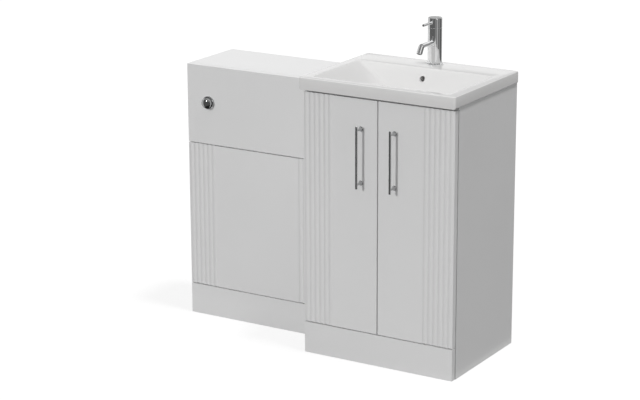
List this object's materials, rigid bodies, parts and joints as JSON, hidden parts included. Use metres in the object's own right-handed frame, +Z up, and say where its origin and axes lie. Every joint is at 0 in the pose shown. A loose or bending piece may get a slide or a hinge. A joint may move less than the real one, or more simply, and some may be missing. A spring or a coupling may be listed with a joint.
{
  "type": "toilet and basin combination unit",
  "caption": "White WC furniture unit with a concealed cistern and round flush button, joined to a deeper fluted two-door vanity with a one-piece basin and a single-lever mixer tap.",
  "frame": {"origin": "on the floor, at the wall, in the joint plane of the WC unit and the vanity", "axes": "+X along the wall from the WC unit to the vanity, +Y towards the wall, +Z up"},
  "size_m": [1.005, 0.4115, 0.982],
  "materials": {
    "board_white": "white gloss lacquered board",
    "carcass_board": "white melamine-faced board",
    "basin_white": "white gloss, stands in for ceramic or cast mineral resin",
    "chrome": "polished chrome plate",
    "steel": "zinc or nickel plated",
    "copper": "drawn copper tube",
    "white_plastic": "moulded white",
    "grey_plastic": "moulded grey",
    "rubber": "matte"
  },
  "bodies": {
    "unit": {"vanity_left_side": "board_white", "vanity_right_side": "board_white", "vanity_base": "carcass_board", "vanity_back_panel": "carcass_board", "vanity_back_rail": "carcass_board", "vanity_front_rail": "carcass_board", "vanity_shelf": "carcass_board", "shelf_pins": "steel", "vanity_plinth": "board_white", "left_hinge_arms": "steel", "right_hinge_arms": "steel", "wc_left_side": "board_white", "wc_right_side": "board_white", "wc_top": "board_white", "wc_fascia": "board_white", "wc_front_panel": "board_white", "wc_plinth": "board_white", "wc_middle_rail": "carcass_board", "wc_back_rail": "carcass_board", "panel_clips": "grey_plastic", "connector_bolts": "steel", "wall_brackets": "steel", "cistern_tank": "white_plastic", "cistern_lid": "white_plastic", "flush_valve": "grey_plastic", "fill_valve": "grey_plastic", "flush_pipe": "white_plastic", "flush_bezel": "chrome", "bezel_nut": "grey_plastic", "basin": "basin_white", "waste_body": "chrome", "waste_washer": "rubber", "waste_nut": "grey_plastic", "trap_body": "white_plastic", "trap_cup": "white_plastic", "trap_outlet": "white_plastic", "tap_body": "chrome", "tap_spout": "chrome", "tap_aerator": "grey_plastic", "tap_fixing": "steel", "tap_tails": "copper"},
    "left_door": {"left_door": "board_white", "left_handle": "chrome", "left_handle_screws": "steel", "left_hinge_cups": "steel", "left_door_buffers": "rubber"},
    "right_door": {"right_door": "board_white", "right_handle": "chrome", "right_handle_screws": "steel", "right_hinge_cups": "steel", "right_door_buffers": "rubber"},
    "left_links": {"left_hinge_links": "steel"},
    "right_links": {"right_hinge_links": "steel"},
    "tap_cartridge": {"tap_stem": "grey_plastic"},
    "tap_handle": {"tap_cap": "chrome", "tap_lever": "chrome"},
    "flush_button": {"flush_button": "chrome"},
    "flush_seal": {"flush_seal": "rubber"},
    "float": {"float_cup": "white_plastic"},
    "plug": {"waste_plug": "chrome"}
  },
  "joints": [
    {"name": "left_door_hinge", "type": "hinge", "parent": "unit", "child": "left_door", "pos_m": [0.008, -0.376, 0.4478], "axis": [0, 0, -1], "range_deg": [0, 105]},
    {"name": "right_door_hinge", "type": "hinge", "parent": "unit", "child": "right_door", "pos_m": [0.492, -0.376, 0.4478], "axis": [0, 0, 1], "range_deg": [0, 105]},
    {"name": "left_hinge_link", "type": "hinge", "parent": "unit", "child": "left_links", "pos_m": [0.0332, -0.3687, 0.4478], "axis": [0, 0, 1], "range_deg": [0, 39.1]},
    {"name": "right_hinge_link", "type": "hinge", "parent": "unit", "child": "right_links", "pos_m": [0.4668, -0.3687, 0.4478], "axis": [0, 0, -1], "range_deg": [0, 39.1]},
    {"name": "tap_temperature", "type": "hinge", "parent": "unit", "child": "tap_cartridge", "pos_m": [0.25, -0.045, 0.952], "axis": [0, 0, 1], "range_deg": [-50, 50]},
    {"name": "tap_flow", "type": "hinge", "parent": "tap_cartridge", "child": "tap_handle", "pos_m": [0.25, -0.045, 0.957], "axis": [-1, 0, 0], "range_deg": [0, 12]},
    {"name": "flush_press", "type": "slide", "parent": "unit", "child": "flush_button", "axis": [0, 1, 0], "range_m": [0, 0.007], "stiffness_N_per_m": 500, "springref_m": -0.004},
    {"name": "flush_seal_lift", "type": "slide", "parent": "unit", "child": "flush_seal", "axis": [0, 0, 1], "range_m": [0, 0.024]},
    {"name": "float_rise", "type": "slide", "parent": "unit", "child": "float", "axis": [0, 0, 1], "range_m": [0, 0.08]},
    {"name": "waste_plug_lift", "type": "slide", "parent": "unit", "child": "plug", "axis": [0, 0, 1], "range_m": [0, 0.008]}
  ],
  "couplings": [
    {"joint": "left_hinge_link", "follows": "left_door_hinge", "ratio": 0.372},
    {"joint": "right_hinge_link", "follows": "right_door_hinge", "ratio": 0.372},
    {"joint": "flush_seal_lift", "follows": "flush_press", "ratio": 3.4}
  ]
}
